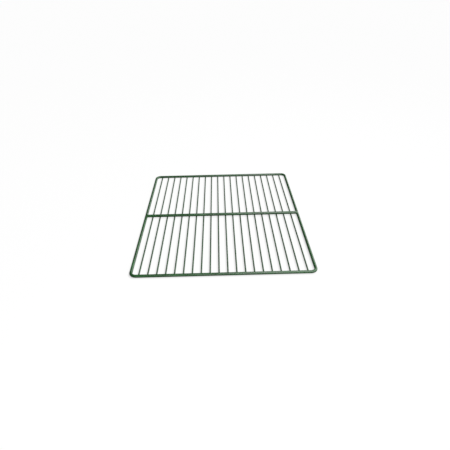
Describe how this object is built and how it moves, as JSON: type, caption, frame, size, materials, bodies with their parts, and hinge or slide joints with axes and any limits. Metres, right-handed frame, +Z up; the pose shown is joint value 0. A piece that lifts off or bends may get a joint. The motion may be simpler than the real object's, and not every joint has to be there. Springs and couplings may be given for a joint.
{
  "type": "refrigerator wire shelf",
  "caption": "Flat rectangular refrigerator shelf: a bent rod frame with rounded corners, close straight wires from front to back and a cross bar, all coated in dark green plastic.",
  "frame": {"origin": "middle of the lower face, on the surface that the shelf lies on", "axes": "+X across the shelf to the right, +Y along the wires to the back, +Z up out of the face with the cross bar"},
  "size_m": [0.53, 0.65, 0.0141],
  "materials": {
    "green_coat": "glossy dark green dipped plastic coat"
  },
  "bodies": {
    "root": {"frame": "green_coat", "cross_bar": "green_coat", "wire_01": "green_coat", "wire_02": "green_coat", "wire_03": "green_coat", "wire_04": "green_coat", "wire_05": "green_coat", "wire_06": "green_coat", "wire_07": "green_coat", "wire_08": "green_coat", "wire_09": "green_coat", "wire_10": "green_coat", "wire_11": "green_coat", "wire_12": "green_coat", "wire_13": "green_coat", "wire_14": "green_coat", "wire_15": "green_coat", "wire_16": "green_coat", "wire_17": "green_coat", "wire_18": "green_coat", "wire_19": "green_coat", "wire_20": "green_coat"}
  },
  "joints": []
}
